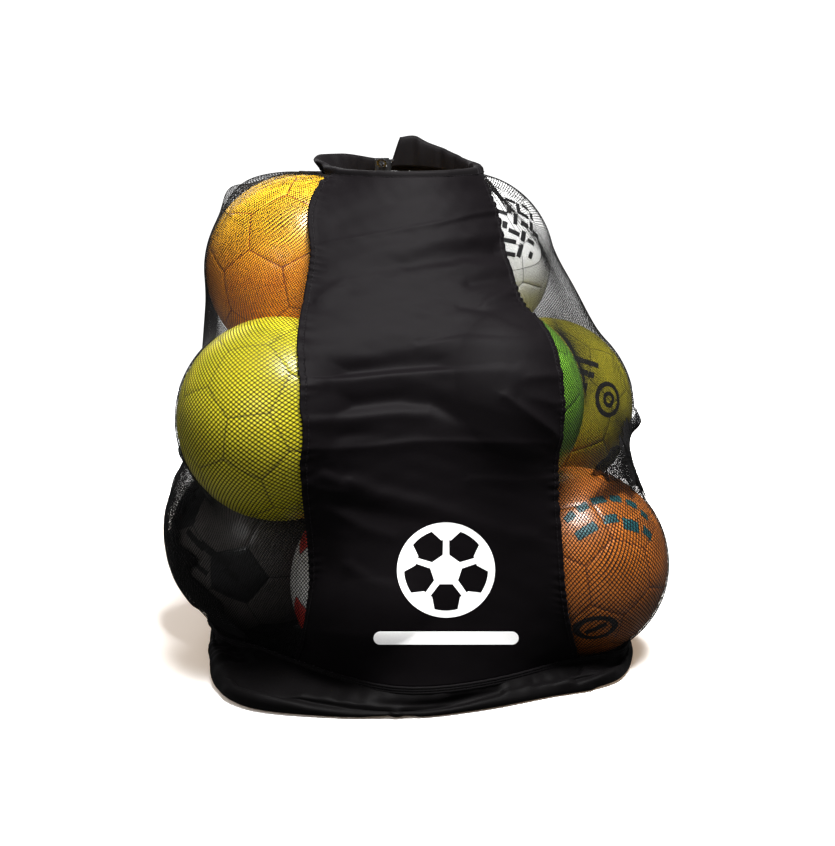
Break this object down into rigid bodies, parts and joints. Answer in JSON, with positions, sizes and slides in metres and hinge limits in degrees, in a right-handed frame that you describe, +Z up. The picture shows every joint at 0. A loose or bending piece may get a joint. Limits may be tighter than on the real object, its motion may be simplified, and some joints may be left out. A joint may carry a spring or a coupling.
{
  "type": "mesh ball bag",
  "caption": "Full mesh drawstring ball bag with an opaque cloth front panel, sewn base band, gathered collar, cord and lock, back strap, holding footballs.",
  "frame": {"origin": "centre of the base's underside, on the floor", "axes": "+Z up, -Y towards the front panel, +X to the right as the front is seen"},
  "size_m": [0.5972, 0.6294, 0.5931],
  "materials": {
    "polyester_cloth": "matte",
    "binding": "matte",
    "net": "matte",
    "cord": "matte",
    "webbing": "matte",
    "plastic": "satin",
    "spring_steel": "satin",
    "valve_rubber": "matte",
    "ball_orange_top_skin": "satin",
    "ball_yellow_left_skin": "satin",
    "ball_black_white_skin": "satin",
    "ball_white_red_skin": "satin",
    "ball_white_top_skin": "satin",
    "ball_yellow_right_skin": "satin",
    "ball_green_skin": "satin",
    "ball_orange_low_skin": "satin",
    "ball_white_back_skin": "satin",
    "ball_blue_back_skin": "satin",
    "ball_white_core_skin": "satin"
  },
  "bodies": {
    "bag": {"base_panel": "polyester_cloth", "base_band": "polyester_cloth", "base_hem_binding": "binding", "front_panel": "polyester_cloth", "net_left": "net", "net_right": "net", "side_seam_left": "binding", "side_seam_right": "binding", "back_seam_tape": "binding", "collar_channel": "polyester_cloth", "drawcord": "cord", "strap_webbing_upper": "webbing", "strap_webbing_lower": "webbing"},
    "slider": {"strap_slider": "plastic"},
    "cord_loop": {"drawcord_loop": "cord"},
    "cord_lock": {"cord_lock_body": "plastic", "cord_lock_spring": "spring_steel"},
    "lock_button": {"cord_lock_plunger": "plastic"},
    "ball_orange_top": {"ball_orange_top": "ball_orange_top_skin", "ball_orange_top_valve": "valve_rubber"},
    "ball_yellow_left": {"ball_yellow_left": "ball_yellow_left_skin", "ball_yellow_left_valve": "valve_rubber"},
    "ball_black_white": {"ball_black_white": "ball_black_white_skin", "ball_black_white_valve": "valve_rubber"},
    "ball_white_red": {"ball_white_red": "ball_white_red_skin", "ball_white_red_valve": "valve_rubber"},
    "ball_white_top": {"ball_white_top": "ball_white_top_skin", "ball_white_top_valve": "valve_rubber"},
    "ball_yellow_right": {"ball_yellow_right": "ball_yellow_right_skin", "ball_yellow_right_valve": "valve_rubber"},
    "ball_green": {"ball_green": "ball_green_skin", "ball_green_valve": "valve_rubber"},
    "ball_orange_low": {"ball_orange_low": "ball_orange_low_skin", "ball_orange_low_valve": "valve_rubber"},
    "ball_white_back": {"ball_white_back": "ball_white_back_skin", "ball_white_back_valve": "valve_rubber"},
    "ball_blue_back": {"ball_blue_back": "ball_blue_back_skin", "ball_blue_back_valve": "valve_rubber"},
    "ball_white_core": {"ball_white_core": "ball_white_core_skin", "ball_white_core_valve": "valve_rubber"}
  },
  "joints": [
    {"name": "adjust_strap", "type": "slide", "parent": "bag", "child": "slider", "axis": [0, 0, 1], "range_m": [-0.035, 0.035]},
    {"name": "cord_pull", "type": "slide", "parent": "bag", "child": "cord_loop", "axis": [0, -1, 0], "range_m": [0, 0.035]},
    {"name": "cord_lock_slide", "type": "slide", "parent": "cord_loop", "child": "cord_lock", "axis": [0, 1, 0], "range_m": [-0.01, 0.035]},
    {"name": "cord_lock_press", "type": "slide", "parent": "cord_lock", "child": "lock_button", "axis": [0, 0, -1], "range_m": [0, 0.0018], "stiffness_N_per_m": 900, "springref_m": -0.0006, "deforming": ["cord_lock_spring"]},
    {"name": "spin_ball_orange_top", "type": "hinge", "parent": "bag", "child": "ball_orange_top", "pos_m": [-0.13494, 0.04289, 0.44178], "axis": [1, 0, 0], "continuous": true},
    {"name": "spin_ball_yellow_left", "type": "hinge", "parent": "bag", "child": "ball_yellow_left", "pos_m": [-0.14821, -0.12695, 0.30053], "axis": [1, 0, 0], "continuous": true},
    {"name": "spin_ball_black_white", "type": "hinge", "parent": "bag", "child": "ball_black_white", "pos_m": [-0.18761, 0.05148, 0.1135], "axis": [1, 0, 0], "continuous": true},
    {"name": "spin_ball_white_red", "type": "hinge", "parent": "bag", "child": "ball_white_red", "pos_m": [-0.03064, -0.11396, 0.1135], "axis": [1, 0, 0], "continuous": true},
    {"name": "spin_ball_white_top", "type": "hinge", "parent": "bag", "child": "ball_white_top", "pos_m": [0.06023, 0.23203, 0.43146], "axis": [1, 0, 0], "continuous": true},
    {"name": "spin_ball_yellow_right", "type": "hinge", "parent": "bag", "child": "ball_yellow_right", "pos_m": [0.15431, 0.1235, 0.2631], "axis": [1, 0, 0], "continuous": true},
    {"name": "spin_ball_green", "type": "hinge", "parent": "bag", "child": "ball_green", "pos_m": [0.073, -0.083, 0.31], "axis": [1, 0, 0], "continuous": true},
    {"name": "spin_ball_orange_low", "type": "hinge", "parent": "bag", "child": "ball_orange_low", "pos_m": [0.17749, -0.03874, 0.1135], "axis": [1, 0, 0], "continuous": true},
    {"name": "spin_ball_white_back", "type": "hinge", "parent": "bag", "child": "ball_white_back", "pos_m": [-0.15777, 0.27008, 0.43004], "axis": [1, 0, 0], "continuous": true},
    {"name": "spin_ball_blue_back", "type": "hinge", "parent": "bag", "child": "ball_blue_back", "pos_m": [0.06095, 0.25721, 0.1135], "axis": [1, 0, 0], "continuous": true},
    {"name": "spin_ball_white_core", "type": "hinge", "parent": "bag", "child": "ball_white_core", "pos_m": [-0.0646, 0.15588, 0.26497], "axis": [1, 0, 0], "continuous": true}
  ]
}
